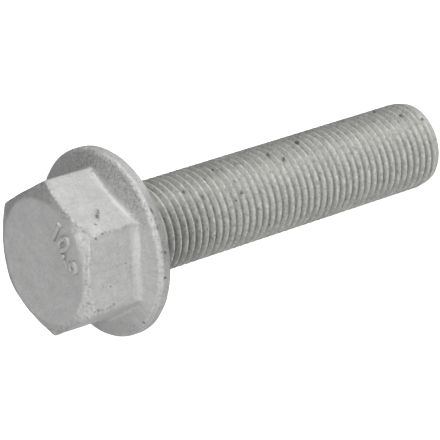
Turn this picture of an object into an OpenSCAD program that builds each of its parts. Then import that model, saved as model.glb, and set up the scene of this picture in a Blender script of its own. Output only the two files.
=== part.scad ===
// Hex flange bolt with a fully threaded shank, forged as one piece.
// Millimetres. +Z runs along the axis towards the head, and the bolt stands on its threaded end.
// The origin is the centre of the bearing face under the flange.
// The shank is the cylinder over the crests of its fine thread.

/* [Shank] */
// Diameter over the thread crests
thread_d = 16; // [12:0.5:18]
// Length from the bearing face to the threaded end
shank_length = 70; // [20:1:160]
// Radius between the shank and the bearing face
neck_radius = 0.6; // [0.2:0.1:1]
// Length of the taper at the threaded end
end_taper_length = 1.85; // [1:0.05:4]
// How far the taper draws the end in, on each side
end_taper_depth = 0.45; // [0.2:0.05:1.5]
// Radius around the end face
end_edge_radius = 0.3; // [0.1:0.05:0.6]

/* [Flange] */
// Outside diameter of the flange
flange_d = 33; // [31:0.5:45]
// Height of the rim, before its edges are rounded
rim_height = 2.35; // [1.6:0.05:4]
// Radius of the rim's lower edge
rim_lower_radius = 0.6; // [0.1:0.1:0.7]
// Radius of the rim's upper edge
rim_upper_radius = 0.8; // [0.2:0.1:1]
// Rise of the flange's upper side towards the hexagon, in degrees
flange_slope = 18; // [8:1:30]
// Radius where the flange runs up into the hexagon
root_radius = 1; // [0.4:0.1:1.4]

/* [Hexagon] */
// Width across flats
hex_af = 24; // [21:0.5:26]
// Height from the bearing face to the top of the head
head_height = 14.2; // [10:0.1:20]
// Radius of the hexagon's six upright edges
hex_edge_radius = 0.4; // [0.1:0.1:1]
// Diameter of the flat disc on top of the head
top_disc_d = 21.8; // [16:0.1:22]
// Fall of the chamfer from the disc to the corners, in degrees
chamfer_angle = 25.5; // [10:0.5:40]
// Radius around the disc
top_disc_edge_radius = 0.6; // [0.1:0.1:1.5]

/* [Hidden] */
$fn = 128;
zinc_grey = [0.64, 0.65, 0.64];
// How far the flange's root reaches into the hexagon, so that the two are one solid
root_overlap = 0.05;
// How far the chamfer's cone runs past the hexagon's corners
chamfer_overrun = 1;

thread_r = thread_d / 2;
flange_r = flange_d / 2;
hex_corner_r = hex_af / 2 / cos(30);
root_wall_r = hex_af / 2 - root_overlap;
root_z = rim_height + (flange_r - root_wall_r) * tan(flange_slope);
top_disc_r = top_disc_d / 2;
chamfer_r = hex_corner_r + chamfer_overrun;
chamfer_z = head_height - (chamfer_r - top_disc_r) * tan(chamfer_angle);

// An outline is a closed list of [x, y, radius] corners, taken anticlockwise
function place(corner) = [corner[0], corner[1]];
function unit(v) = v / norm(v);
function way_back(outline, i) = unit(place(outline[(i + len(outline) - 1) % len(outline)]) - place(outline[i]));
function way_on(outline, i) = unit(place(outline[(i + 1) % len(outline)]) - place(outline[i]));
function half_angle(outline, i) = acos(way_back(outline, i) * way_on(outline, i)) / 2;
function is_inward(outline, i) = cross(way_on(outline, i), way_back(outline, i)) < 0;

// Where the arc at a corner is centred, and where it meets the corner's two sides
function arc_centre(outline, i) =
    place(outline[i])
    + unit(way_back(outline, i) + way_on(outline, i)) * outline[i][2] / sin(half_angle(outline, i));
function arc_ends(outline, i) =
    let (setback = outline[i][2] / tan(half_angle(outline, i)))
    [place(outline[i]) + setback * way_back(outline, i), place(outline[i]) + setback * way_on(outline, i)];
function arc_chords(outline) =
    [for (i = [0 : len(outline) - 1]) each outline[i][2] > 0 ? arc_ends(outline, i) : [place(outline[i])]];

// Discs on the arcs of an outline's inward or outward corners
module arc_discs(outline, inward) {
    for (i = [0 : len(outline) - 1])
        if (outline[i][2] > 0 && is_inward(outline, i) == inward)
            translate(arc_centre(outline, i)) circle(r = outline[i][2]);
}

module rounded_outline(outline) {
    difference() {
        union() {
            polygon(arc_chords(outline));
            arc_discs(outline, inward = false);
        }
        arc_discs(outline, inward = true);
    }
}

// Shank, bearing face and flange, up to the root of the hexagon
module turned_body() {
    rotate_extrude()
        rounded_outline([
            [0, -shank_length, 0],
            [thread_r - end_taper_depth, -shank_length, end_edge_radius],
            [thread_r, end_taper_length - shank_length, 0],
            [thread_r, 0, neck_radius],
            [flange_r, 0, rim_lower_radius],
            [flange_r, rim_height, rim_upper_radius],
            [root_wall_r, root_z, root_radius],
            [root_wall_r, root_z + root_radius, 0],
            [0, root_z + root_radius, 0],
        ]);
}

module hexagon_prism() {
    translate([0, 0, rim_height])
        linear_extrude(head_height - rim_height)
            rounded_outline([
                for (turn = [0 : 60 : 300])
                    [hex_corner_r * cos(turn), hex_corner_r * sin(turn), hex_edge_radius]
            ]);
}

// The round form that chamfers the hexagon's corners and leaves the disc on top
module chamfer_form() {
    rotate_extrude()
        rounded_outline([
            [0, 0, 0],
            [chamfer_r, 0, 0],
            [chamfer_r, chamfer_z, 0],
            [top_disc_r, head_height, top_disc_edge_radius],
            [0, head_height, 0],
        ]);
}

module bolt() {
    color(zinc_grey)
        union() {
            turned_body();
            intersection() {
                hexagon_prism();
                chamfer_form();
            }
        }
}

bolt();
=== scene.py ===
import math
from typing import NamedTuple

import bmesh
import bpy
from bpy.props import FloatProperty, FloatVectorProperty, IntProperty, PointerProperty
from bpy.types import Operator, Panel, PropertyGroup
from mathutils import Matrix, Vector, noise


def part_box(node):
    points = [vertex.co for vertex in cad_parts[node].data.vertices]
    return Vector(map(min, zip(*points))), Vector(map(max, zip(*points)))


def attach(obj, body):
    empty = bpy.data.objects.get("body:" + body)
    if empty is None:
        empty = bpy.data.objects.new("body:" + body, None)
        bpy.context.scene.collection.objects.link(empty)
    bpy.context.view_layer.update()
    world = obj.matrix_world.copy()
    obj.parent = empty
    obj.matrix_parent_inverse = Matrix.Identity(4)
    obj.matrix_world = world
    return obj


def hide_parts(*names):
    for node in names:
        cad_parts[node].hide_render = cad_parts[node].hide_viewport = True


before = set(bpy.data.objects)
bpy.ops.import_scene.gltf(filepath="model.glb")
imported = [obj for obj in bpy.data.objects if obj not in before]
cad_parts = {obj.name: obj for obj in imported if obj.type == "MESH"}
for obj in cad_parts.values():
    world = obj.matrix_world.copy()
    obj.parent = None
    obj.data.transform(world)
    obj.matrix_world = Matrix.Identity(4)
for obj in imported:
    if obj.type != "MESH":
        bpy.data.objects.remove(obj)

bl_info = {
    "name": "Hex Flange Bolt",
    "version": (1, 0, 0),
    "blender": (4, 5, 0),
    "location": "3D View > Sidebar > Bolt",
    "description": "Forges a hex flange bolt, rolls its thread, coats it with zinc flake and sets a stage",
    "category": "Add Mesh",
}

NODE = "bolt"
PIECE = "flange_bolt"
SOOT = "soot"
MM = 0.001
FULL_TURN = 2 * math.pi
SIDES = 6
BLACK = (0, 0, 0, 1)
WHITE = (1, 1, 1, 1)
# Turns of thread that are screwed past each end of the shank and cut off again
SPARE_TURNS = 2
# Gaps that part the thread from the head and from the end, and how far off a gap its open rims may lie
NECK_GAP = 0.2 * MM
END_GAP = 0.1 * MM
RIM_REACH = 1 * MM
# How close vertices lie that merge, that are on a cut, and that are on the axis
MERGE_REACH = 0.001 * MM
CUT_REACH = 0.0001 * MM
AXIS_REACH = 0.01 * MM
# Faces that meet at a smaller angle are shaded as one surface
SMOOTH_ANGLE = math.radians(40)
# A nick fades out at this many of its half sizes
NICK_REACH = 1.5
# Directions from +X of the sides where the chamfer has painted light or painted shade, where the flange has a
# coarser grain and painted shade and the thread painted light, where the head casts a painted shadow on the
# flange, where the rim wall has smudges and painted shade, and where the grooves have painted shade or hold
# most flecks
LIT_CHAMFER_SIDE = math.radians(-150)
SHADED_CHAMFER_SIDE = math.radians(-45)
COARSE_GRAIN_AND_SHADING_SIDE = math.radians(-80)
HEAD_SHADOW_SIDE = math.radians(130)
SMUDGED_AND_SHADED_SIDE = math.radians(-131)
SHADED_GROOVE_SIDE = math.radians(-145)
FLECKED_SIDE = math.radians(-50)
# Numerals of the strength grade and their places along its arc, in spacings from the middle
MARK_STEPS = {"1": 1.25, "0": 0.35, ".": -0.35, "9": -1.1}
LIGHTS = ("key", "side", "front", "low", "crown", "top", "rear", "left", "under", "edge")

# Lowest and highest corner of the solid, which give the bolt's length, head height and flange
LOW, HIGH = (Vector(corner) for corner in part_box(NODE))


# Properties

def length(name, description, millimetres):
    return FloatProperty(
        name=name, description=description, default=millimetres * MM, unit="LENGTH", precision=5)


def angle(name, description, degrees):
    return FloatProperty(
        name=name, description=description, default=math.radians(degrees), subtype="ANGLE")


def share(name, description, default):
    return FloatProperty(
        name=name, description=description, default=default, min=0, max=1, subtype="FACTOR")


def amount(name, description, default):
    return FloatProperty(name=name, description=description, default=default, min=0)


def count(name, description, default):
    return IntProperty(name=name, description=description, default=default, min=1)


def colour(name, description, *rgb):
    return FloatVectorProperty(
        name=name, description=description, default=rgb, size=3, min=0, max=1, subtype="COLOR")


def place(name, description, *millimetres):
    return FloatVectorProperty(
        name=name, description=description, default=[part * MM for part in millimetres],
        size=3, subtype="TRANSLATION", unit="LENGTH")


def direction(name, description, *parts):
    return FloatVectorProperty(
        name=name, description=description, default=parts, size=3, subtype="DIRECTION")


class HeadSizes(PropertyGroup):
    """Sizes of the forged hexagon, flange and neck"""
    across_flats: length("Across flats", "Width of the hexagon across its flats", 24)
    upright_edge: length("Upright edge radius", "Rounding of the hexagon's six upright edges", 0.7)
    height: length("Head height", "From the bearing face to the top of the head", HIGH.z / MM)
    disc: length("Top disc", "Diameter of the flat disc on top of the head", 21.8)
    disc_edge: length("Disc edge radius", "Rounding around the disc", 2.5)
    chamfer: angle("Chamfer", "Fall of the chamfer from the disc to the corners", 25.5)
    chamfer_edge: length("Chamfer edge radius", "Rounding between the chamfer and the flats", 0.5)
    flange: length("Flange", "Outside diameter of the flange", (HIGH.y - LOW.y) / MM)
    rim: length("Rim height", "Height of the flange's rim before its edges are rounded", 2.35)
    rim_lower_edge: length("Rim lower radius", "Rounding of the rim's lower edge", 0.6)
    rim_upper_edge: length("Rim upper radius", "Rounding of the rim's upper edge", 0.8)
    slope: angle("Flange slope", "Rise of the flange towards the hexagon", 18)
    root: length("Root radius", "Hollow where the flange runs up into the hexagon", 1)
    neck: length("Neck", "Diameter of the plain neck under the flange", 15)
    neck_root: length("Neck radius", "Hollow between the neck and the bearing face", 0.6)
    neck_length: length("Neck length", "Plain length under the bearing face", 1.8)


class ThreadSizes(PropertyGroup):
    """Sizes of the rolled thread and of the threaded end"""
    diameter: length("Thread", "Diameter over the crests", 16)
    pitch: length("Pitch", "Rise of the thread in one turn", 1.5)
    depth: length("Depth", "From the crests to the roots", 0.92)
    crest: length("Crest width", "Width of the crest before its edges are rounded", 0.22)
    crest_edge: length("Crest radius", "Rounding of the crest's edges", 0.14)
    root: length("Root width", "Width of the root before its corners are rounded", 0.28)
    root_edge: length("Root radius", "Rounding of the root's corners", 0.16)
    first_crest: length("First crest", "Height of the first crest under the bearing face, at +X", -0.84)
    run_out: length("Run-out", "Length over which the thread fades into the neck", 1.8)
    end_taper: length("End taper", "Length of the taper at the threaded end", 1.85)
    end_draw_in: length("End draw-in", "How far the taper draws the end in, on each side", 0.45)
    end_edge: length("End radius", "Rounding around the end face", 0.3)
    end_fade: length("End fade", "Length over which the thread fades out towards the end", 1.3)
    end_plain: length("Plain end", "Length of the end that has no thread left", 0.75)
    steps: count("Steps", "Faces in one turn of the thread", 96)


class GradeMark(PropertyGroup):
    """The raised numerals on top of the head"""
    turn: angle("Place", "Direction of the mark's middle, from +X", -121)
    spacing: angle("Spacing", "Turn from one numeral to the next", 20)
    distance: length("Distance", "From the bolt's axis to the feet of the numerals", 6.3)
    size: length("Size", "Height of a line of numerals", 4.9)
    rise: length("Rise", "How far the mark stands above the disc", 0.55)
    edge: length("Edge", "Rounding of the strokes' edges", 0.25)
    edge_steps: count("Edge steps", "Cuts in the rounding of an edge", 3)
    curve_steps: count("Curve steps", "Cuts in each curve of a numeral", 6)


class Wear(PropertyGroup):
    """Unevenness of the forged head"""
    waves: length("Waves", "Height of the head's wide unevenness", 0.04)
    wave_length: length("Wave length", "Width of the wide unevenness", 2.6)
    lumps: length("Lumps", "Height of the head's narrow unevenness", 0.025)
    lump_length: length("Lump length", "Width of the narrow unevenness", 0.9)


class ZincCoat(PropertyGroup):
    """Colours and gloss of the zinc flake coating"""
    head: colour("Head coating", "Colour of the coating on the head", 0.6, 0.605, 0.597)
    thread: colour("Thread coating", "Colour of the coating on the thread", 0.6, 0.605, 0.58)
    dark: colour("Soot", "Colour of specks and of dirt in nicks", 0.07, 0.07, 0.065)
    roughness: share("Roughness", "How dull the coating is", 0.58)
    metal: share("Metal", "How much the coating reflects as bare metal does", 0.6)
    relief: length("Relief", "Height of the coating's grain", 0.06)


class Studio(PropertyGroup):
    """Camera, floor and lights"""
    eye: place("Camera", "Where the camera stands", -225.364, -315.840, 263.667)
    aim: place("Aim", "What the camera looks at", -2.085, 1.467, -23.192)
    roll: angle("Roll", "Turn of the camera about its line of sight", 107.937)
    lens: amount("Lens", "Focal length in millimetres", 227.17)
    sensor: amount("Sensor", "Width of the camera's sensor in millimetres", 36)
    floor: colour("Floor", "Colour of the floor", 0.9, 0.9, 0.89)
    floor_size: length("Floor size", "Width of the floor", 4000)
    backdrop: amount("Backdrop", "How bright the floor and the air show in the picture itself", 1)
    ambient: amount("Ambient", "Strength of the even light from all round", 0.02)
    light_distance: length("Light distance", "From the aim to each light", 600)
    light_size: length("Light size", "Diameter of each light", 400)
    key_from: direction("Key from", "Where the key light hangs, as right, up and back", -0.03, 0.81, 0.59)
    key_power: amount("Key power", "Power of the key light, above the camera", 1.03)
    side_from: direction("Side from", "Where the side light hangs", 0.5, -0.62, 0.6)
    side_power: amount("Side power", "Power of the light at the lower right", 0.86)
    front_from: direction("Front from", "Where the front light hangs", -0.41, -0.03, 0.91)
    front_power: amount("Front power", "Power of the light beside the camera", 0.74)
    low_from: direction("Low from", "Where the low light hangs", -0.39, -0.59, 0.71)
    low_power: amount("Low power", "Power of the light at the lower left", 0.68)
    crown_from: direction("Crown from", "Where the crown light hangs", -0.17, 0.38, 0.91)
    crown_power: amount("Crown power", "Power of the light just above the camera", 0.68)
    top_from: direction("Top from", "Where the top light hangs", 0.24, 0.93, 0.29)
    top_power: amount("Top power", "Power of the light at the top of the picture", 0.52)
    rear_from: direction("Rear from", "Where the rear light hangs", -0.88, -0.35, -0.32)
    rear_power: amount("Rear power", "Power of the light behind the head", 0.4)
    left_from: direction("Left from", "Where the left light hangs", -0.74, -0.63, 0.24)
    left_power: amount("Left power", "Power of the light at the far left", 0.29)
    under_from: direction("Under from", "Where the under light hangs", -0.49, -0.87, -0.03)
    under_power: amount("Under power", "Power of the light at the bottom of the picture", 0.22)
    edge_from: direction("Edge from", "Where the edge light hangs", 0.3, -0.9, -0.3)
    edge_power: amount("Edge power", "Power of the light that edges the shank from below and behind", 0.18)


# Outlines

class Corner(NamedTuple):
    """A corner of an outline: its place, its rounding, and how finely its arc and the run after it are cut"""
    x: float
    y: float
    radius: float = 0
    arc: int = 1
    run: int = 0


def arc_points(before, corner, after):
    """Points of a corner's arc, from the side that comes before it to the side that comes after it"""
    here = Vector((corner.x, corner.y))
    if not corner.radius:
        return [here]
    back = (Vector((before.x, before.y)) - here).normalized()
    ahead = (Vector((after.x, after.y)) - here).normalized()
    half = back.angle(ahead) / 2
    centre = here + (back + ahead).normalized() * corner.radius / math.sin(half)
    spoke = here + back * corner.radius / math.tan(half) - centre
    sense = math.copysign(1, back.y * ahead.x - back.x * ahead.y)
    turn = sense * (math.pi - 2 * half)
    return [centre + Matrix.Rotation(turn * i / corner.arc, 2) @ spoke for i in range(corner.arc + 1)]


def rounded_outline(corners, closed=False):
    """Points along an outline with rounded corners"""
    arcs = [
        arc_points(corners[i - 1], corner, corners[(i + 1) % len(corners)])
        for i, corner in enumerate(corners)
    ]
    points = []
    for i, corner in enumerate(corners):
        points += arcs[i]
        if i + 1 == len(corners) and not closed:
            break
        start, end = arcs[i][-1], arcs[(i + 1) % len(corners)][0]
        for step in range(1, corner.run + 1):
            points.append(start.lerp(end, step / (corner.run + 1)))
    return points


def hexagon_outline(sizes):
    """Points round the hexagon, seen from above, with a corner on +X"""
    corner_radius = sizes.across_flats / 2 / math.cos(math.pi / SIDES)
    return rounded_outline([
        Corner(
            corner_radius * math.cos(FULL_TURN * side / SIDES),
            corner_radius * math.sin(FULL_TURN * side / SIDES),
            sizes.upright_edge, arc=6, run=36)
        for side in range(SIDES)
    ], closed=True)


def head_outline(sizes, wall):
    """Points from the middle of the disc to the neck, where the hexagon's wall stands at that distance"""
    disc = sizes.disc / 2
    rim = sizes.flange / 2
    neck = sizes.neck / 2
    chamfer_foot = sizes.height - (wall - disc) * math.tan(sizes.chamfer)
    wall_foot = sizes.rim + (rim - wall) * math.tan(sizes.slope)
    return rounded_outline([
        Corner(0, sizes.height, run=8),
        Corner(disc, sizes.height, sizes.disc_edge, arc=4, run=3),
        Corner(wall, chamfer_foot, sizes.chamfer_edge, arc=5, run=22),
        Corner(wall, wall_foot, sizes.root, arc=7, run=9),
        Corner(rim, sizes.rim, sizes.rim_upper_edge, arc=7, run=4),
        Corner(rim, 0, sizes.rim_lower_edge, arc=6, run=6),
        Corner(neck, 0, sizes.neck_root, arc=5, run=2),
        Corner(neck, -sizes.neck_length),
    ])


def thread_outline(sizes):
    """Points of one turn of the thread, from the middle of a root to the middle of the next"""
    crest = sizes.diameter / 2
    root = crest - sizes.depth
    return rounded_outline([
        Corner(root, 0),
        Corner(root, sizes.root / 2, sizes.root_edge, arc=1, run=1),
        Corner(crest, (sizes.pitch - sizes.crest) / 2, sizes.crest_edge, arc=2),
        Corner(crest, (sizes.pitch + sizes.crest) / 2, sizes.crest_edge, arc=2, run=1),
        Corner(root, sizes.pitch - sizes.root / 2, sizes.root_edge, arc=1),
        Corner(root, sizes.pitch),
    ])


def end_outline(sizes, start):
    """Points from the taper, at that height, round the edge of the end face to its middle"""
    end = LOW.z
    edge = sizes.diameter / 2 - sizes.end_draw_in
    return rounded_outline([
        Corner(end_limit(sizes, start), start, run=2),
        Corner(edge, end, sizes.end_edge, arc=6, run=6),
        Corner(0, end),
    ])


def end_limit(sizes, z):
    """How far out the tapered end reaches at a height"""
    taper = min(max((LOW.z + sizes.end_taper - z) / sizes.end_taper, 0), 1)
    return sizes.diameter / 2 - sizes.end_draw_in * taper


# Nicks

class Dab(NamedTuple):
    """A nick: its turn from +X in degrees, its place, half sizes and depth in millimetres, and its soot"""
    turn: float
    distance: float
    height: float
    out: float
    round: float
    along: float
    depth: float = 0.1
    soot: float = 1


HEAD_DABS = (
    # A dent in one flat
    Dab(-100, 12.2, 7.9, 0.8, 0.4, 0.4, depth=0.2, soot=0.9),
    Dab(-102, 12.3, 8.3, 0.8, 0.4, 0.5, depth=0.3, soot=0.85),
    Dab(-104, 12.4, 8.7, 0.8, 0.5, 0.55, depth=0.3, soot=0.9),
    Dab(-105.5, 12.4, 9.0, 0.8, 0.65, 0.5, depth=0.3, soot=0.8),
    Dab(-111.5, 12.9, 10.3, 0.7, 0.4, 0.4),
    # The worn corner beside it
    Dab(-119, 13.8, 12.4, 1.9, 1.8, 1.7, depth=0.95, soot=0.25),
    Dab(-122.7, 13.4, 11.5, 0.8, 0.45, 0.4, soot=0.85),
    Dab(-118.9, 13.3, 12.8, 0.8, 0.45, 0.35, depth=0.3, soot=0.85),
    Dab(-116, 13.1, 13, 0.7, 0.4, 0.3, depth=0.3, soot=0.85),
    Dab(-120.5, 13.4, 12.1, 0.8, 0.4, 0.35, depth=0.3, soot=0.8),
    Dab(-120.2, 13.7, 10.2, 0.8, 0.45, 0.6, depth=0.25, soot=0.75),
    Dab(-120.3, 13.7, 8.8, 0.7, 0.35, 0.5, depth=0.15, soot=0.65),
    Dab(-121, 13.7, 5.6, 0.7, 0.35, 0.4, depth=0.15, soot=0.65),
    Dab(-113.7, 12.9, 13.2, 0.6, 0.5, 0.3, depth=0.2, soot=0.75),
    # Specks on the next flat
    Dab(-147, 12.0, 6.1, 0.5, 0.25, 0.25),
    Dab(-160, 12.2, 10.9, 0.5, 0.3, 0.22),
    Dab(-162, 12.3, 9.4, 0.5, 0.3, 0.22),
    # A sooty row along the upright edge beyond it
    Dab(-173, 12.2, 13.6, 0.6, 0.4, 0.5, soot=0.7),
    Dab(-176.7, 13.4, 12.2, 0.7, 0.5, 0.6, soot=0.66),
    Dab(-177.6, 13.5, 11.4, 0.7, 0.5, 0.55, soot=0.68),
    Dab(-177.7, 13.5, 10.5, 0.7, 0.45, 0.55, soot=0.62),
    Dab(-177.4, 13.5, 9.7, 0.7, 0.5, 0.5, soot=0.7),
    Dab(-176.3, 13.4, 8.9, 0.7, 0.5, 0.5, soot=0.76),
    # A scratch across the chamfer
    Dab(-169.5, 11.4, 13.9, 0.8, 0.15, 0.5),
    # Marks on the rim and flange
    Dab(-117, 16.5, 1.5, 0.7, 0.9, 0.3, soot=0.85),
    Dab(-127.5, 16.5, 1.6, 0.7, 0.8, 0.3, soot=0.85),
    Dab(-142, 16.5, 1.1, 0.7, 0.5, 0.5, soot=0.85),
    Dab(-157.3, 16.5, 1.4, 0.7, 0.35, 0.5),
    Dab(-173.8, 16.5, 2.1, 0.6, 0.2, 0.4, soot=0.8),
    Dab(165.4, 15.9, 2.5, 0.4, 0.5, 0.4, soot=0.8),
    Dab(156.4, 15.2, 2.75, 0.4, 0.4, 0.4, soot=0.8),
)

THREAD_DABS = (
    Dab(-94, 7.6, -12.8, 0.7, 0.7, 0.3),
    Dab(-109, 7.6, -15.8, 0.7, 0.9, 0.3),
    Dab(-119, 7.7, -23.7, 0.7, 0.7, 0.4),
    Dab(-137, 7.5, -13.0, 0.7, 0.5, 0.3),
    Dab(-71, 7.6, -21.6, 0.7, 0.7, 0.4),
    Dab(-55, 7.6, -30.0, 0.7, 0.8, 0.5),
    Dab(-62, 7.6, -34.3, 0.7, 0.9, 0.5),
    Dab(-76, 7.7, -33.7, 0.7, 0.8, 0.4),
    Dab(-93, 7.7, -35.5, 0.7, 0.8, 0.35),
    Dab(-69, 7.6, -41.3, 0.7, 0.8, 0.5),
    Dab(-126, 7.6, -22.1, 0.7, 0.5, 0.35),
    Dab(-145, 7.5, -14.3, 0.7, 0.5, 0.3),
    Dab(-75, 7.6, -50.0, 0.7, 0.7, 0.45),
    Dab(-50, 7.6, -62.3, 0.7, 0.7, 0.5),
    Dab(-80, 7.6, -65.3, 0.7, 0.6, 0.45),
    Dab(-98, 7.6, -68.6, 0.8, 0.6, 0.45),
)


# Workshop

def clear_bench():
    """Leaves edit mode and selects nothing"""
    if bpy.context.object and bpy.context.object.mode != "OBJECT":
        bpy.ops.object.mode_set(mode="OBJECT")
    bpy.ops.object.select_all(action="DESELECT")


def take(piece):
    """Makes a piece the only one selected"""
    clear_bench()
    piece.select_set(True)
    bpy.context.view_layer.objects.active = piece


def settle(piece):
    """Moves a piece's place into its mesh"""
    take(piece)
    bpy.ops.object.transform_apply(location=True, rotation=True, scale=True)


def draw_wire(name, points):
    """A wire in the XZ plane, drawn by extruding one vertex from point to point"""
    spots = [Vector((point.x, 0, point.y)) for point in points]
    clear_bench()
    bpy.ops.mesh.primitive_plane_add(size=MM, location=spots[0])
    piece = bpy.context.object
    piece.name = name
    bpy.ops.object.mode_set(mode="EDIT")
    bpy.ops.mesh.merge(type="CENTER")
    for here, there in zip(spots, spots[1:]):
        bpy.ops.mesh.extrude_vertices_move(TRANSFORM_OT_translate={"value": there - here})
    settle(piece)
    return piece


def weld(piece):
    """Merges doubled vertices and turns every face outwards"""
    take(piece)
    bpy.ops.object.mode_set(mode="EDIT")
    bpy.ops.mesh.select_all(action="SELECT")
    bpy.ops.mesh.remove_doubles(threshold=MERGE_REACH)
    bpy.ops.mesh.normals_make_consistent(inside=False)
    bpy.ops.object.mode_set(mode="OBJECT")


def spin_round(piece, steps):
    """Spins a wire about the bolt's axis into a closed surface"""
    take(piece)
    bpy.ops.object.mode_set(mode="EDIT")
    bpy.ops.mesh.select_all(action="SELECT")
    bpy.ops.mesh.spin(steps=steps, angle=FULL_TURN, center=(0, 0, 0), axis=(0, 0, 1))
    weld(piece)


def apply_modifier(piece, kind, **settings):
    take(piece)
    modifier = piece.modifiers.new(kind.title(), kind)
    for name, setting in settings.items():
        setattr(modifier, name, setting)
    bpy.ops.object.modifier_apply(modifier=modifier.name)


def cut_flat(piece, height, keep_below):
    """Cuts a piece level at a height and clears one side"""
    take(piece)
    bpy.ops.object.mode_set(mode="EDIT")
    bpy.ops.mesh.select_all(action="SELECT")
    bpy.ops.mesh.bisect(
        plane_co=(0, 0, height), plane_no=(0, 0, 1),
        clear_outer=keep_below, clear_inner=not keep_below, threshold=CUT_REACH)
    bpy.ops.object.mode_set(mode="OBJECT")


def bridge_rims(piece, low, high):
    """Bridges the open rims that lie between two heights"""
    take(piece)
    bpy.ops.object.mode_set(mode="EDIT")
    bpy.ops.mesh.select_all(action="DESELECT")
    bpy.ops.mesh.select_mode(type="EDGE")
    mesh = bmesh.from_edit_mesh(piece.data)
    for edge in mesh.edges:
        if edge.is_boundary and all(low < vertex.co.z < high for vertex in edge.verts):
            edge.select_set(True)
    bmesh.update_edit_mesh(piece.data)
    bpy.ops.mesh.bridge_edge_loops()
    bpy.ops.object.mode_set(mode="OBJECT")


def polar(point):
    """Angle from +X, from 0 to a full turn, and distance from the axis"""
    return math.atan2(point.y, point.x) % FULL_TURN, math.hypot(point.x, point.y)


def smooth_step(value):
    value = min(max(value, 0), 1)
    return value * value * (3 - 2 * value)


# Pieces

class BOLT_OT_forge_head(Operator):
    """Spin the head's outline and press the hexagon into it"""
    bl_idname = "bolt.forge_head"
    bl_label = "Forge Head"

    def execute(self, context):
        sizes = context.scene.bolt_head
        outline = head_outline(sizes, sizes.across_flats / 2)
        head = draw_wire("head_blank", outline)
        rows = self.number_rows(head, outline)
        columns = hexagon_outline(sizes)
        spin_round(head, len(columns))
        self.press_hexagon(head, sizes, columns, rows)
        return {"FINISHED"}

    def number_rows(self, head, outline):
        """Gives each vertex of the wire the number of its point of the outline"""
        rows = head.data.attributes.new("row", "INT", "POINT")
        for vertex, entry in zip(head.data.vertices, rows.data):
            gaps = [(vertex.co.xz - point).length for point in outline]
            entry.value = gaps.index(min(gaps))
        return rows.name

    def press_hexagon(self, head, sizes, columns, rows):
        """Moves each column of vertices to its own angle, and to the outline for its distance of wall"""
        mesh = bmesh.new()
        mesh.from_mesh(head.data)
        row = mesh.verts.layers.int[rows]
        outlines = [head_outline(sizes, column.length) for column in columns]
        for vertex in mesh.verts:
            turn, radius = polar(vertex.co)
            if radius < AXIS_REACH:
                continue
            index = round(turn / FULL_TURN * len(columns)) % len(columns)
            spot = outlines[index][vertex[row]]
            ray = columns[index].normalized()
            vertex.co = (spot.x * ray.x, spot.x * ray.y, spot.y)
        mesh.to_mesh(head.data)
        mesh.free()
        head.data.attributes.remove(head.data.attributes[rows])


class BOLT_OT_roll_thread(Operator):
    """Screw one turn of the thread's outline along the shank and fade it out at both ends"""
    bl_idname = "bolt.roll_thread"
    bl_label = "Roll Thread"

    def execute(self, context):
        sizes = context.scene.bolt_thread
        head = context.scene.bolt_head
        thread = draw_wire("thread_blank", thread_outline(sizes))
        below = math.ceil((sizes.first_crest - LOW.z) / sizes.pitch) + SPARE_TURNS
        # The outline has its crest half a pitch above its start
        thread.location.z = sizes.first_crest - (below + 0.5) * sizes.pitch
        settle(thread)
        apply_modifier(
            thread, "SCREW", axis="Z", angle=FULL_TURN, screw_offset=sizes.pitch,
            iterations=below + SPARE_TURNS, steps=sizes.steps, render_steps=sizes.steps,
            use_merge_vertices=False)
        weld(thread)
        start = -head.neck_length - NECK_GAP
        end = LOW.z + sizes.end_plain
        cut_flat(thread, start, keep_below=True)
        cut_flat(thread, end, keep_below=False)
        self.fade_out(thread, sizes, head.neck / 2, start, end)
        return {"FINISHED"}

    def fade_out(self, thread, sizes, neck, start, end):
        """Draws the thread in to the neck at its start and to the taper at its end"""
        crest = sizes.diameter / 2
        for vertex in thread.data.vertices:
            turn, radius = polar(vertex.co)
            rise = smooth_step((start - vertex.co.z) / sizes.run_out)
            fade = smooth_step((vertex.co.z - end) / sizes.end_fade)
            limit = min(end_limit(sizes, vertex.co.z), neck + (crest - neck) * rise)
            reach = limit - (crest - radius) * rise * fade
            vertex.co.x = reach * math.cos(turn)
            vertex.co.y = reach * math.sin(turn)


class BOLT_OT_round_end(Operator):
    """Spin the rounded end that closes the shank"""
    bl_idname = "bolt.round_end"
    bl_label = "Round End"

    def execute(self, context):
        sizes = context.scene.bolt_thread
        start = LOW.z + sizes.end_plain - END_GAP
        end = draw_wire("end_blank", end_outline(sizes, start))
        spin_round(end, sizes.steps)
        return {"FINISHED"}


class BOLT_OT_raise_mark(Operator):
    """Raise the numerals of the strength grade on top of the head"""
    bl_idname = "bolt.raise_mark"
    bl_label = "Raise Grade Mark"

    def execute(self, context):
        mark = context.scene.bolt_mark
        top = context.scene.bolt_head.height
        for numeral, step in MARK_STEPS.items():
            self.raise_numeral(numeral, mark, top, mark.turn + step * mark.spacing)
        return {"FINISHED"}

    def raise_numeral(self, numeral, mark, top, turn):
        """Sets one numeral with its feet towards the axis and unites it with the head"""
        bolt = bpy.data.objects[PIECE]
        clear_bench()
        bpy.ops.object.text_add(
            location=(mark.distance * math.cos(turn), mark.distance * math.sin(turn), top),
            rotation=(0, 0, turn - math.pi / 2))
        stroke = bpy.context.object
        stroke.data.body = numeral
        stroke.data.align_x = "CENTER"
        stroke.data.size = mark.size
        stroke.data.extrude = mark.rise - mark.edge
        stroke.data.bevel_depth = mark.edge
        stroke.data.bevel_resolution = mark.edge_steps
        stroke.data.resolution_u = mark.curve_steps
        bpy.ops.object.convert(target="MESH")
        settle(stroke)
        weld(stroke)
        before = len(bolt.data.vertices)
        apply_modifier(bolt, "BOOLEAN", operation="UNION", solver="MANIFOLD", object=stroke)
        if len(bolt.data.vertices) <= before:
            raise RuntimeError("Numeral " + numeral + " wasn't united with the head")
        bpy.data.objects.remove(stroke)


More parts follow.
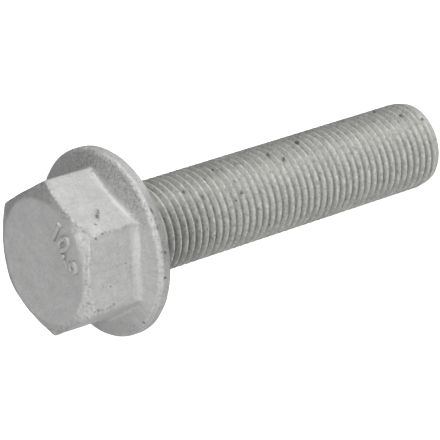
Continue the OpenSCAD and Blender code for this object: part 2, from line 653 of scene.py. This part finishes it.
class BOLT_OT_weld_blanks(Operator):
    """Bridge head, thread and end into one piece"""
    bl_idname = "bolt.weld_blanks"
    bl_label = "Weld Blanks"

    def execute(self, context):
        thread = context.scene.bolt_thread
        blanks = [bpy.data.objects[name] for name in ("head_blank", "thread_blank", "end_blank")]
        take(blanks[0])
        for blank in blanks:
            blank.select_set(True)
        bpy.ops.object.join()
        bolt = bpy.context.object
        bolt.name = PIECE
        bridge_rims(bolt, -context.scene.bolt_head.neck_length - RIM_REACH, 0)
        bridge_rims(bolt, LOW.z, LOW.z + thread.end_plain + RIM_REACH)
        weld(bolt)
        return {"FINISHED"}


class BOLT_OT_wear_bolt(Operator):
    """Make the forged head a little uneven, and dent and darken the nicks"""
    bl_idname = "bolt.wear_bolt"
    bl_label = "Wear Bolt"

    def execute(self, context):
        wear = context.scene.bolt_wear
        mesh = bpy.data.objects[PIECE].data
        soot = mesh.attributes.new(SOOT, "FLOAT", "POINT")
        normals = [vertex.normal.copy() for vertex in mesh.vertices]
        for vertex, normal, entry in zip(mesh.vertices, normals, soot.data):
            spot = vertex.co / MM
            sink, entry.value = self.nicks_at(spot)
            if vertex.co.z > 0:
                sink += wear.waves / MM * noise.noise(vertex.co / wear.wave_length)
                sink += wear.lumps / MM * noise.noise(vertex.co / wear.lump_length)
            vertex.co -= normal * sink * MM
        return {"FINISHED"}

    def nicks_at(self, spot):
        """How deep the nicks are at a place, in millimetres, and how dark"""
        sink = dark = 0
        for dab in (*HEAD_DABS, *THREAD_DABS):
            lift = (spot.z - dab.height) / dab.along
            if abs(lift) < NICK_REACH:
                turn = math.radians(dab.turn)
                out = (spot.x * math.cos(turn) + spot.y * math.sin(turn) - dab.distance) / dab.out
                side = (spot.y * math.cos(turn) - spot.x * math.sin(turn)) / dab.round
                share = 1 - smooth_step(math.hypot(out, side, lift) / NICK_REACH)
                sink = max(sink, dab.depth * share)
                dark = max(dark, dab.soot * share)
        return sink, dark


class BOLT_OT_coat_bolt(Operator):
    """Smooth the bolt's faces and coat it with zinc flake"""
    bl_idname = "bolt.coat_bolt"
    bl_label = "Coat Bolt"

    def execute(self, context):
        bolt = bpy.data.objects[PIECE]
        take(bolt)
        bpy.ops.object.shade_smooth_by_angle(angle=SMOOTH_ANGLE)
        bolt.data.materials.clear()
        bolt.data.materials.append(zinc_flake(context.scene))
        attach(bolt, "root")
        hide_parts(NODE)
        return {"FINISHED"}


# Finishes

# What lightens the coating, or darkens it below zero. Names side by side in a key are multiplied.
TONE = {
    "grain": 0.36,
    "grain coarse": 1,
    "mottle": 0.3,
    "mottle chamfer": 0.35,
    "mottle crest": 0.7,
    "mottle rim_edge": 0.35,
    "mottle sooty": -0.8,
    "cloud": 0.25,
    "flow": 0.25,
    "drawn": 0.2,
    "rolled": 0.65,
    # Painted light: the chamfer is lighter on one side
    "lit_chamfer": 0.16,
    # Painted shade: the chamfer is darker on another side
    "dull": -0.09,
    # Painted shade on the flange's side with the coarser grain
    "hollow": 0.12,
    # Painted light in the hollow where the flange runs up into the hexagon
    "coarse": -0.05,
    # Painted shadow of the head on one side of the flange
    "dark": -0.09,
    # Painted highlight along the rounded upper edge of the rim
    "rim_edge": 0.15,
    "rim_wall": -0.04,
    # Painted shade on one side of the rim wall, which also has real smudges
    "sooty": -0.22,
    # Painted light: the thread is lighter on that side, its crests less so
    "thread coarse_side": 0.07,
    "crest coarse_side": -0.08,
    # Painted highlight on the crests near the head
    "crest under_head": 0.12,
    # Painted shade on the thread near the head
    "under_head": -0.06,
    # Painted shade in the roots of the thread
    "root": -0.09,
    # Painted shade in the roots on one side, and more near the head
    "groove": -0.14,
    "groove under_head": -0.22,
    "flecked": -0.06,
}
# What covers it with dirt
DIRT = {
    "specks": 0.35,
    "smears worn": 0.25,
    "smears chamfer": 0.15,
    "smears rim": 0.24,
    "grime thread": 0.4,
    "nicks": 0.75,
}
# What makes it duller
ROUGHNESS = {
    "grain": 0.2,
    "dirt": 0.2,
}
# What raises it, in heights of the relief
RELIEF = {
    "grain": 0.5,
    "grain coarse": 3,
    "mottle": 0.7,
    "mottle worn": 3,
    "mottle rim": 2,
    "mottle chamfer": 1,
    "mottle flange": 1,
    "flow": 1,
    "drawn": 0.3,
    "dirt": -1,
}


class Signal:
    """A socket in a finish. Arithmetic on it adds Math nodes."""

    def __init__(self, finish, socket):
        self.finish = finish
        self.socket = socket

    def also(self, name):
        """Another output of the same node"""
        return Signal(self.finish, self.socket.node.outputs[name])

    def __add__(self, other):
        return self.finish.math("ADD", self, other)

    def __radd__(self, other):
        return self.finish.math("ADD", other, self)

    def __sub__(self, other):
        return self.finish.math("SUBTRACT", self, other)

    def __rsub__(self, other):
        return self.finish.math("SUBTRACT", other, self)

    def __mul__(self, other):
        return self.finish.math("MULTIPLY", self, other)

    def __rmul__(self, other):
        return self.finish.math("MULTIPLY", other, self)

    def __truediv__(self, other):
        return self.finish.math("DIVIDE", self, other)

    def __pow__(self, other):
        return self.finish.math("POWER", self, other)


class Finish:
    """The nodes of a material or of the air, under construction"""

    def __init__(self, holder, shader="Principled BSDF"):
        holder.use_nodes = True
        self.tree = holder.node_tree
        self.shader = self.tree.nodes[shader]

    def add(self, kind, settings=None, sockets=None, output=0):
        """A new node, its settings first, then the values or links of its sockets"""
        node = self.tree.nodes.new("ShaderNode" + kind)
        for name, setting in (settings or {}).items():
            setattr(node, name, setting)
        for name, value in (sockets or {}).items():
            self.feed(node.inputs[name], value)
        return Signal(self, node.outputs[output])

    def feed(self, socket, value):
        if isinstance(value, Signal):
            self.tree.links.new(value.socket, socket)
        else:
            socket.default_value = value

    def paint(self, sockets):
        """Feeds sockets of the shader itself"""
        for name, value in sockets.items():
            self.feed(self.shader.inputs[name], value)

    def math(self, operation, first, second):
        return self.add("Math", {"operation": operation}, {0: first, 1: second})

    def size(self, value):
        """A value without its sign"""
        return self.math("ABSOLUTE", value, 0)

    def rise(self, value, low, high):
        """0 below low, 1 above high, and a smooth rise between them"""
        return self.add(
            "MapRange", {"interpolation_type": "SMOOTHSTEP"},
            {"Value": value, "From Min": low, "From Max": high})

    def band(self, value, low, high, soft):
        """1 between low and high, with soft edges"""
        return self.rise(value, low - soft, low) * (1 - self.rise(value, high, high + soft))

    def noise(self, vector, scale, detail=2, roughness=0.5):
        """An uneven pattern about zero"""
        pattern = self.add(
            "TexNoise", None, {"Vector": vector, "Scale": scale, "Detail": detail, "Roughness": roughness})
        return pattern - 0.5

    def blend(self, start, weights, signals):
        """A start and the weighted signals added to it. Names side by side in a key are multiplied."""
        total = start
        for names, weight in weights.items():
            total = total + math.prod((signals[name] for name in names.split()), start=weight)
        return total

    def mix(self, factor, first, second):
        """A mix of two colours. Their sockets share names with other sockets, so they go by number."""
        return self.add("Mix", {"data_type": "RGBA"}, {0: factor, 6: first, 7: second}, output=2)

    def dim(self, colour, tone):
        """A colour made lighter or darker"""
        return self.add("VectorMath", {"operation": "SCALE"}, {0: colour, "Scale": tone})

    def stretch(self, vector, *parts):
        return self.add("VectorMath", {"operation": "MULTIPLY"}, {0: vector, 1: parts})


class BoltFinish(Finish):
    """A finish that knows where on the bolt a point lies, in millimetres"""

    def __init__(self, material):
        super().__init__(material)
        self.spot = self.stretch(self.add("TexCoord", output="Object"), 1 / MM, 1 / MM, 1 / MM)
        self.x = self.add("SeparateXYZ", None, {0: self.spot}, output="X")
        self.y = self.x.also("Y")
        self.z = self.x.also("Z")
        self.radius = (self.x * self.x + self.y * self.y) ** 0.5

    def reach(self, turn):
        """How far a point lies from the axis towards a direction"""
        return self.x * math.cos(turn) + self.y * math.sin(turn)

    def facing(self, turn, low=0.6, high=0.9):
        """1 on the side that lies in a direction and 0 elsewhere, as the cosine rises from low to high"""
        return self.rise(self.reach(turn) / self.radius, low, high)


def zinc_flake(scene):
    """Dull light grey coating with a mottled grain, worn edges and dark specks, and with painted light and
    shade on some sides, the rim edge, the hollow, the roots and the thread near the head
    """
    coat = scene.bolt_coat
    material = bpy.data.materials.new("zinc_flake")
    finish = BoltFinish(material)
    signals = head_zones(finish, scene.bolt_head)
    signals.update(thread_zones(finish, scene.bolt_thread, scene.bolt_head))
    signals.update(coat_patterns(finish, signals))
    signals.update(dirt_patterns(finish, signals))
    signals["dirt"] = finish.blend(0, DIRT, signals)
    base = finish.mix(signals["thread"], (*coat.head, 1), (*coat.thread, 1))
    base = finish.dim(base, finish.blend(1, TONE, signals))
    height = finish.blend(0, RELIEF, signals)
    finish.paint({
        "Base Color": finish.mix(signals["dirt"], base, (*coat.dark, 1)),
        "Roughness": finish.blend(coat.roughness, ROUGHNESS, signals),
        "Metallic": coat.metal,
        "Normal": finish.add("Bump", None, {"Strength": 1, "Distance": coat.relief, "Height": height}),
    })
    return material


def head_zones(finish, head):
    """Where on the head a point lies: each zone is 1 inside and 0 outside, with limits in millimetres"""
    z = finish.z
    radius = finish.radius
    top = head.height / MM
    disc = head.disc / 2 / MM
    flat = head.across_flats / 2 / MM
    rim = head.flange / 2 / MM
    rim_top = head.rim / MM

    # How far out a point lies towards the flat that it faces, and how far aside of the nearest upright edge
    reaches = [finish.size(finish.reach((side + 0.5) * FULL_TURN / SIDES)) for side in range(SIDES // 2)]
    wall = aside = reaches[0]
    for reach in reaches[1:]:
        wall = finish.math("MAXIMUM", wall, reach)
        aside = finish.math("MINIMUM", aside, reach)

    off_cone = finish.size(top - (radius - disc) * math.tan(head.chamfer) - z)
    top_edge = 1 - finish.rise(off_cone + (flat - wall), 0.2, 1)
    upright_edge = (1 - finish.rise(aside, 0.2, 0.9)) * finish.band(z, rim_top + 2.15, top - 1.2, 1)
    chamfer = (1 - finish.rise(off_cone, 0.1, 0.3)) * finish.rise(radius, disc - 0.3, disc + 0.3)
    hollow = finish.band(z, rim_top + 1.15, rim_top + 2.35, 0.3)
    flange = finish.band(z, rim_top - 0.15, rim_top + 1.25, 0.4)
    flange = flange * finish.rise(radius, flat + 0.6, flat + 1.6)
    # The rounded upper edge of the rim, which carries a painted highlight
    rim_edge = finish.rise(radius, rim - 0.8, rim - 0.4) * finish.rise(z, rim_top - 0.75, rim_top - 0.45)
    rim_wall = finish.rise(radius, rim - 0.4, rim - 0.2)
    rim_wall = rim_wall * (1 - finish.rise(z, rim_top - 0.9, rim_top - 0.55))
    # One side with a coarser grain on the flange, painted shade on the flange and painted light on the thread
    coarse_side = finish.facing(COARSE_GRAIN_AND_SHADING_SIDE)
    return {
        "worn": finish.math("MAXIMUM", top_edge, upright_edge),
        "chamfer": chamfer,
        # Painted light on one side of the chamfer
        "lit_chamfer": finish.facing(LIT_CHAMFER_SIDE) * chamfer,
        # Painted shade on another side of the chamfer
        "dull": finish.facing(SHADED_CHAMFER_SIDE) * chamfer,
        "flats": finish.band(z, rim_top + 2.25, top - 1.6, 0.8),
        # The hollow at the foot of the flats, which carries painted light
        "hollow": hollow * finish.band(wall, flat + 0.03, flat + 0.8, 0.15),
        "flange": flange,
        "coarse_side": coarse_side,
        # The flange's side with the coarser grain and painted shade
        "coarse": coarse_side * flange,
        # Painted shadow of the head on one side of the flange
        "dark": finish.facing(HEAD_SHADOW_SIDE) * flange,
        "rim": finish.rise(radius, rim - 1.2, rim - 0.6),
        "rim_edge": rim_edge,
        "rim_wall": rim_wall,
        # One side of the rim wall, with smudges and painted shade
        "sooty": finish.facing(SMUDGED_AND_SHADED_SIDE, low=0.86, high=0.98) * rim_wall,
    }


def thread_zones(finish, thread, head):
    """Where on the thread a point lies: each zone is 1 inside and 0 outside, with limits in millimetres"""
    z = finish.z
    neck_end = -head.neck_length / MM
    on_thread = 1 - finish.rise(z, neck_end - 1.7, neck_end - 0.2)
    depth = (thread.diameter / 2 / MM - finish.radius) / (thread.depth / MM)
    # The roots, which carry painted shade
    root = finish.rise(depth, 0.3, 0.95) * on_thread
    return {
        "thread": on_thread,
        # Near the head, where the thread carries painted shade and its crests a painted highlight
        "under_head": finish.rise(z, neck_end - 24.2, neck_end - 6.2) * on_thread,
        "crest": (1 - finish.rise(depth, 0.05, 0.35)) * on_thread,
        "root": root,
        # One side of the roots, which carries painted shade
        "groove": finish.facing(SHADED_GROOVE_SIDE) * root,
        "flecked": finish.facing(FLECKED_SIDE) * root,
    }


def coat_patterns(finish, zones):
    """Grain and clouds of the coating, and streaks that follow how each part was formed"""
    spot = finish.spot
    radius = finish.radius
    # Streaks run outwards over the flange: fine round the axis, long across it
    fine = 40
    long = 0.5
    outwards = finish.add(
        "CombineXYZ", None,
        {"X": finish.x / radius * fine, "Y": finish.y / radius * fine, "Z": radius * long})
    upwards = finish.stretch(spot, 2.2, 2.2, 0.4)
    around = finish.stretch(spot, 1.6, 1.6, 2.4)
    return {
        "grain": finish.noise(spot, 2.6, detail=3, roughness=0.6),
        "mottle": finish.noise(spot, 1.3, detail=3, roughness=0.6),
        "cloud": finish.noise(spot, 0.35),
        "flow": finish.noise(outwards, 1, detail=3) * zones["flange"],
        "drawn": finish.noise(upwards, 1, detail=3) * zones["flats"],
        "rolled": finish.noise(around, 1, detail=3) * zones["thread"],
    }


def dirt_patterns(finish, zones):
    """Specks and smears, grime in the grooves and soot in the nicks"""
    speckle = finish.noise(finish.stretch(finish.spot, 1, 1, 1.15), 1.9, detail=3, roughness=0.65)
    streaks = finish.noise(finish.stretch(finish.spot, 0.9, 0.9, 2.4), 1, detail=3, roughness=0.65)
    soot = finish.add("Attribute", {"attribute_name": SOOT}, output="Fac")
    return {
        "specks": finish.rise(speckle, 0.18, 0.28),
        "smears": finish.rise(speckle, 0, 0.2),
        "grime": finish.rise(streaks + zones["flecked"] * 0.08, 0.09, 0.22),
        "nicks": finish.rise(soot + speckle * 0.5, 0.3, 0.85),
    }


def pale_floor(studio):
    """Matt floor that shows white to the camera and shines less on the bolt"""
    material = bpy.data.materials.new("pale_floor")
    finish = Finish(material)
    cloud = finish.noise(finish.add("TexCoord", output="Object"), 6)
    seen = finish.add("LightPath", output="Is Camera Ray")
    finish.paint({
        "Base Color": finish.dim(studio.floor, 1 + cloud * 0.03),
        "Roughness": 0.9,
        "Emission Strength": studio.backdrop,
        "Emission Color": finish.mix(seen, BLACK, WHITE),
    })
    return material


def studio_air(studio):
    """Air that shows white to the camera and hardly lights the bolt"""
    world = bpy.data.worlds.new("studio_air")
    finish = Finish(world, "Background")
    seen = finish.add("LightPath", output="Is Camera Ray")
    finish.paint({
        "Color": WHITE,
        "Strength": studio.ambient + seen * (studio.backdrop - studio.ambient),
    })
    return world


# Stage

class BOLT_OT_set_stage(Operator):
    """Lay the floor, hang the lights and set up the camera"""
    bl_idname = "bolt.set_stage"
    bl_label = "Set Stage"

    def execute(self, context):
        studio = context.scene.bolt_studio
        view = self.set_camera(context.scene, studio)
        self.lay_floor(studio)
        for name in LIGHTS:
            self.hang_light(name, studio, view)
        context.scene.world = studio_air(studio)
        context.scene.view_settings.view_transform = "Standard"
        return {"FINISHED"}

    def set_camera(self, scene, studio):
        ahead = (Vector(studio.aim) - Vector(studio.eye)).normalized()
        level = ahead.cross(Vector((0, 0, 1))).normalized()
        upright = level.cross(ahead)
        up = upright * math.cos(studio.roll) + level * math.sin(studio.roll)
        right = ahead.cross(up)
        view = Matrix((right, up, -ahead)).transposed()
        clear_bench()
        bpy.ops.object.camera_add()
        camera = bpy.context.object
        camera.matrix_world = Matrix.Translation(studio.eye) @ view.to_4x4()
        camera.data.sensor_width = studio.sensor
        camera.data.lens = studio.lens
        scene.camera = camera
        return view

    def lay_floor(self, studio):
        clear_bench()
        bpy.ops.mesh.primitive_plane_add(size=studio.floor_size, location=(0, 0, LOW.z))
        floor = bpy.context.object
        floor.name = "floor"
        settle(floor)
        floor.data.materials.append(pale_floor(studio))
        # The top and edge lights hang lower than the floor and shine through it
        floor.visible_shadow = False

    def hang_light(self, name, studio, view):
        """A soft light that shines on the aim from a direction given right, up and back in the picture"""
        ray = (view @ Vector(getattr(studio, name + "_from"))).normalized()
        clear_bench()
        bpy.ops.object.light_add(type="AREA", location=Vector(studio.aim) + ray * studio.light_distance)
        light = bpy.context.object
        light.name = name + "_light"
        light.rotation_euler = ray.to_track_quat("Z", "Y").to_euler()
        light.data.shape = "DISK"
        light.data.size = studio.light_size
        light.data.energy = getattr(studio, name + "_power")
        # Rays from the bolt can't find a light under the floor, so each light is only sampled directly
        light.data.cycles.use_multiple_importance_sampling = False
        light.visible_camera = False


# Panel and registration

class BOLT_PT_workshop(Panel):
    """The bolt's sizes, finish and steps"""
    bl_idname = "BOLT_PT_workshop"
    bl_label = "Hex Flange Bolt"
    bl_space_type = "VIEW_3D"
    bl_region_type = "UI"
    bl_category = "Bolt"

    def draw(self, context):
        for name, group in GROUPS.items():
            box = self.layout.box()
            box.label(text=group.bl_rna.description)
            for prop in group.__annotations__:
                box.prop(getattr(context.scene, name), prop)
        for step in STEPS:
            self.layout.operator(step.bl_idname)


GROUPS = {
    "bolt_head": HeadSizes,
    "bolt_thread": ThreadSizes,
    "bolt_mark": GradeMark,
    "bolt_wear": Wear,
    "bolt_coat": ZincCoat,
    "bolt_studio": Studio,
}
STEPS = (
    BOLT_OT_forge_head,
    BOLT_OT_roll_thread,
    BOLT_OT_round_end,
    BOLT_OT_weld_blanks,
    BOLT_OT_raise_mark,
    BOLT_OT_wear_bolt,
    BOLT_OT_coat_bolt,
    BOLT_OT_set_stage,
)
CLASSES = (*GROUPS.values(), *STEPS, BOLT_PT_workshop)


def register():
    for cls in CLASSES:
        bpy.utils.register_class(cls)
    for name, group in GROUPS.items():
        setattr(bpy.types.Scene, name, PointerProperty(type=group))


def unregister():
    for name in GROUPS:
        delattr(bpy.types.Scene, name)
    for cls in reversed(CLASSES):
        bpy.utils.unregister_class(cls)


def main():
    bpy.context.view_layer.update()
    register()
    bpy.ops.bolt.forge_head()
    bpy.ops.bolt.roll_thread()
    bpy.ops.bolt.round_end()
    bpy.ops.bolt.weld_blanks()
    bpy.ops.bolt.raise_mark()
    bpy.ops.bolt.wear_bolt()
    bpy.ops.bolt.coat_bolt()
    bpy.ops.bolt.set_stage()


if __name__ == "__main__":
    main()
